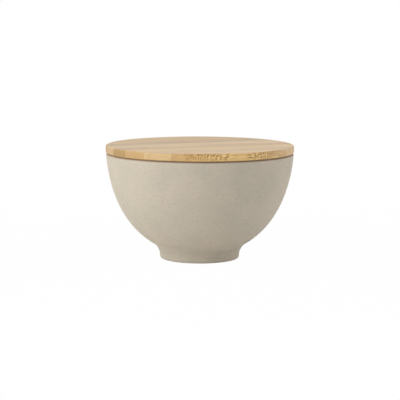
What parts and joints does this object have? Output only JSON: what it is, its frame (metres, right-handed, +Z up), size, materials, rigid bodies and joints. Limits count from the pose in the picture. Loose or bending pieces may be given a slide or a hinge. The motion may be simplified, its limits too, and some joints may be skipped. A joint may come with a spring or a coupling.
{
  "type": "lidded bowl",
  "caption": "Round stoneware bowl on a foot ring, with a flat two-ply bamboo lid whose plug and finned silicone ring close the mouth.",
  "frame": {"origin": "centre of the foot ring's resting face, on the table", "axes": "+Z up along the bowl's axis, front towards -Y, +X to the right; the lid's grain runs 24 degrees from +X"},
  "size_m": [0.15, 0.15, 0.091],
  "materials": {
    "stoneware": "matte speckled",
    "bamboo_pale": "sanded and oiled",
    "bamboo_honey": "sanded and oiled",
    "bamboo_caramel": "sanded and oiled",
    "silicone": "satin translucent"
  },
  "bodies": {
    "bowl": {"bowl": "stoneware"},
    "lid": {"lid_upper_strip_1": "bamboo_honey", "lid_upper_strip_2": "bamboo_pale", "lid_upper_strip_3": "bamboo_honey", "lid_upper_strip_4": "bamboo_caramel", "lid_upper_strip_5": "bamboo_pale", "lid_upper_strip_6": "bamboo_caramel", "lid_upper_strip_7": "bamboo_honey", "lid_upper_strip_8": "bamboo_honey", "lid_upper_strip_9": "bamboo_pale", "lid_plug_strip_1": "bamboo_pale", "lid_plug_strip_2": "bamboo_honey", "lid_plug_strip_3": "bamboo_caramel", "lid_plug_strip_4": "bamboo_honey", "lid_plug_strip_5": "bamboo_pale", "lid_plug_strip_6": "bamboo_honey", "lid_plug_strip_7": "bamboo_caramel", "lid_plug_strip_8": "bamboo_pale", "sealing_ring": "silicone"}
  },
  "joints": [
    {"name": "lid_lift", "type": "slide", "parent": "bowl", "child": "lid", "axis": [0, 0, 1], "range_m": [0, 0.12]}
  ]
}
